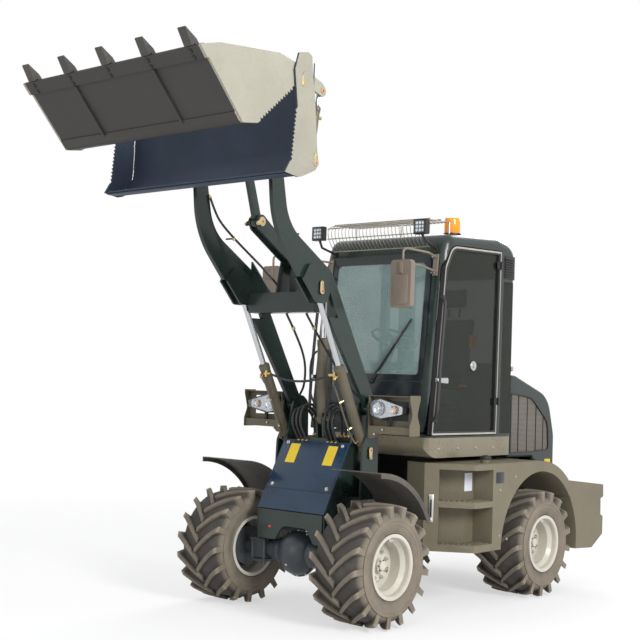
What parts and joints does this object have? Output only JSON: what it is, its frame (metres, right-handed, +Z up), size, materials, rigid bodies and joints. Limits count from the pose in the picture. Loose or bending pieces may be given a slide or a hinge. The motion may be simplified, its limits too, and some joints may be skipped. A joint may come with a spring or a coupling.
{
  "type": "wheel loader",
  "caption": "Compact articulated wheel loader with an enclosed cab, a raised boom worked by a central bell crank, and an opened clam-type bucket with bolt-on teeth.",
  "frame": {"origin": "on the ground under the middle of the whole machine's length, on its centre plane", "axes": "+X forward, +Y to the left of the machine, +Z up"},
  "size_m": [4.6286, 1.612, 3.4466],
  "materials": {
    "body_paint": "gloss",
    "clam_paint": "satin",
    "chassis_grey": "satin",
    "black_paint": "satin",
    "rim_cream": "satin",
    "tyre_rubber": "matte",
    "rod_chrome": "polished",
    "cast_grey": "matte",
    "pin_steel": "satin",
    "edge_steel": "satin",
    "window_glass": "clear",
    "lamp_lens": "gloss",
    "black_plastic": "matte",
    "seat_fabric": "matte"
  },
  "bodies": {
    "rear_chassis": {"rear_frame": "chassis_grey", "rear_axle": "chassis_grey", "engine": "cast_grey", "counterweight": "cast_grey", "step_box_left": "chassis_grey", "step_box_right": "chassis_grey", "rear_mudguards": "chassis_grey", "cab_body": "body_paint", "cab_roof": "body_paint", "windshield": "window_glass", "rear_cab_glass": "window_glass", "seat": "seat_fabric", "cab_controls": "black_plastic", "mirrors": "black_plastic", "roof_lamps": "black_plastic", "exhaust_stub": "black_paint"},
    "hood_lid": {"hood": "body_paint", "hood_grilles": "black_paint"},
    "left_door": {"door_left": "black_paint", "door_left_glass": "window_glass"},
    "right_door": {"door_right": "black_paint", "door_right_glass": "window_glass"},
    "front_chassis": {"front_frame": "body_paint", "front_cover": "body_paint", "front_axle": "chassis_grey", "front_mudguards": "black_plastic", "headlight_brackets": "chassis_grey", "headlights": "lamp_lens"},
    "boom_arms": {"boom": "body_paint", "bell_crank_pin": "pin_steel"},
    "crank": {"bell_crank": "body_paint", "link_pin": "pin_steel"},
    "bucket_link": {"tilt_link": "body_paint"},
    "lift_barrels": {"lift_cylinder_barrels": "chassis_grey"},
    "lift_rods": {"lift_cylinder_rods": "rod_chrome"},
    "tilt_barrel": {"tilt_cylinder_barrel": "chassis_grey"},
    "tilt_rod": {"tilt_cylinder_rod": "rod_chrome"},
    "hinge_pins": {"bucket_hinge_pins": "pin_steel"},
    "bucket_back": {"bucket": "body_paint"},
    "clam": {"clam_jaw": "clam_paint", "clam_teeth": "edge_steel"},
    "clam_barrels": {"clam_cylinder_barrels": "body_paint"},
    "clam_rods": {"clam_cylinder_rods": "rod_chrome"},
    "steer_barrel_left": {"steering_barrel_left": "black_paint"},
    "steer_rod_left": {"steering_rod_left": "rod_chrome"},
    "steer_barrel_right": {"steering_barrel_right": "black_paint"},
    "steer_rod_right": {"steering_rod_right": "rod_chrome"},
    "front_left_wheel": {"front_left_tyre": "tyre_rubber", "front_left_rim": "rim_cream"},
    "front_right_wheel": {"front_right_tyre": "tyre_rubber", "front_right_rim": "rim_cream"},
    "rear_left_wheel": {"rear_left_tyre": "tyre_rubber", "rear_left_rim": "rim_cream"},
    "rear_right_wheel": {"rear_right_tyre": "tyre_rubber", "rear_right_rim": "rim_cream"}
  },
  "joints": [
    {"name": "articulation", "type": "hinge", "parent": "rear_chassis", "child": "front_chassis", "pos_m": [-0.47633, 0, 0.65], "axis": [0, 0, 1], "range_deg": [-33, 33]},
    {"name": "boom_lift", "type": "hinge", "parent": "front_chassis", "child": "boom_arms", "pos_m": [0.16367, 0, 1.38], "axis": [0, -1, 0], "range_deg": [-97.36, 0]},
    {"name": "bucket_level", "type": "hinge", "parent": "boom_arms", "child": "hinge_pins", "pos_m": [1.17167, 0, 2.865], "axis": [0, -1, 0], "range_deg": [0, 97.86]},
    {"name": "bucket_tilt", "type": "hinge", "parent": "hinge_pins", "child": "bucket_back", "pos_m": [1.17167, 0, 2.865], "axis": [0, 1, 0], "range_deg": [-40, 45]},
    {"name": "clam_open", "type": "hinge", "parent": "bucket_back", "child": "clam", "pos_m": [1.44167, 0, 3.305], "axis": [0, -1, 0], "range_deg": [-38, 0]},
    {"name": "crank_swing", "type": "hinge", "parent": "boom_arms", "child": "crank", "pos_m": [0.60367, 0, 2.34], "axis": [0, -1, 0], "range_deg": [-24.7, 0]},
    {"name": "link_swing", "type": "hinge", "parent": "crank", "child": "bucket_link", "pos_m": [0.97067, 0, 2.561], "axis": [0, -1, 0], "range_deg": [0, 33.91]},
    {"name": "lift_barrel_swing", "type": "hinge", "parent": "front_chassis", "child": "lift_barrels", "pos_m": [0.22067, 0, 1.098], "axis": [0, -1, 0], "range_deg": [-97.86, 0]},
    {"name": "lift_rod_slide", "type": "slide", "parent": "lift_barrels", "child": "lift_rods", "axis": [0.4597, 0, 0.8881], "range_m": [-0.43374, 0]},
    {"name": "tilt_barrel_swing", "type": "hinge", "parent": "front_chassis", "child": "tilt_barrel", "pos_m": [0.25767, 0, 1.286], "axis": [0, -1, 0], "range_deg": [-95.65, 0]},
    {"name": "tilt_rod_slide", "type": "slide", "parent": "tilt_barrel", "child": "tilt_rod", "axis": [0.0236, 0, 0.9997], "range_m": [-0.05227, 0.04668]},
    {"name": "clam_barrel_swing", "type": "hinge", "parent": "bucket_back", "child": "clam_barrels", "pos_m": [1.32267, 0, 2.813], "axis": [0, -1, 0], "range_deg": [-2.18, 0]},
    {"name": "clam_rod_slide", "type": "slide", "parent": "clam_barrels", "child": "clam_rods", "axis": [-0.1348, 0, 0.9909], "range_m": [0, 0.12263]},
    {"name": "steer_swing_left", "type": "hinge", "parent": "rear_chassis", "child": "steer_barrel_left", "pos_m": [-0.73633, 0.22, 0.647], "axis": [0, 0, 1], "range_deg": [-15.01, 15.01]},
    {"name": "steer_rod_slide_left", "type": "slide", "parent": "steer_barrel_left", "child": "steer_rod_left", "axis": [0.982, -0.1888, 0], "range_m": [-0.09686, 0.09686]},
    {"name": "steer_swing_right", "type": "hinge", "parent": "rear_chassis", "child": "steer_barrel_right", "pos_m": [-0.73633, -0.22, 0.647], "axis": [0, 0, 1], "range_deg": [-15.01, 15.01]},
    {"name": "steer_rod_slide_right", "type": "slide", "parent": "steer_barrel_right", "child": "steer_rod_right", "axis": [0.982, 0.1888, 0], "range_m": [-0.09686, 0.09686]},
    {"name": "door_left_open", "type": "hinge", "parent": "rear_chassis", "child": "left_door", "pos_m": [-1.08233, 0.562, 1.9], "axis": [0, 0, 1], "range_deg": [0, 85]},
    {"name": "door_right_open", "type": "hinge", "parent": "rear_chassis", "child": "right_door", "pos_m": [-1.08233, -0.562, 1.9], "axis": [0, 0, -1], "range_deg": [0, 85]},
    {"name": "hood_open", "type": "hinge", "parent": "rear_chassis", "child": "hood_lid", "pos_m": [-1.32233, 0, 1.63], "axis": [0, 1, 0], "range_deg": [0, 60]},
    {"name": "front_left_wheel_spin", "type": "hinge", "parent": "front_chassis", "child": "front_left_wheel", "pos_m": [0.44867, 0.603, 0.3935], "axis": [0, 1, 0], "continuous": true},
    {"name": "front_right_wheel_spin", "type": "hinge", "parent": "front_chassis", "child": "front_right_wheel", "pos_m": [0.44867, -0.603, 0.3935], "axis": [0, 1, 0], "continuous": true},
    {"name": "rear_left_wheel_spin", "type": "hinge", "parent": "rear_chassis", "child": "rear_left_wheel", "pos_m": [-1.40133, 0.603, 0.3935], "axis": [0, 1, 0], "continuous": true},
    {"name": "rear_right_wheel_spin", "type": "hinge", "parent": "rear_chassis", "child": "rear_right_wheel", "pos_m": [-1.40133, -0.603, 0.3935], "axis": [0, 1, 0], "continuous": true}
  ],
  "couplings": [
    {"joint": "bucket_level", "follows": "boom_lift", "ratio": -1},
    {"joint": "crank_swing", "follows": "boom_lift", "ratio": 0.24854},
    {"joint": "link_swing", "follows": "boom_lift", "ratio": -0.34312},
    {"joint": "lift_barrel_swing", "follows": "boom_lift", "ratio": 1},
    {"joint": "lift_rod_slide", "follows": "boom_lift", "m_per_rad": 0.25407},
    {"joint": "tilt_barrel_swing", "follows": "boom_lift", "ratio": 0.97732},
    {"joint": "tilt_rod_slide", "follows": "bucket_tilt", "m_per_rad": -0.064},
    {"joint": "clam_barrel_swing", "follows": "clam_open", "ratio": 0.044234},
    {"joint": "clam_rod_slide", "follows": "clam_open", "m_per_rad": -0.18188},
    {"joint": "steer_swing_left", "follows": "articulation", "ratio": 0.43966},
    {"joint": "steer_rod_slide_left", "follows": "articulation", "m_per_rad": -0.1647},
    {"joint": "steer_swing_right", "follows": "articulation", "ratio": 0.43966},
    {"joint": "steer_rod_slide_right", "follows": "articulation", "m_per_rad": 0.1647}
  ]
}
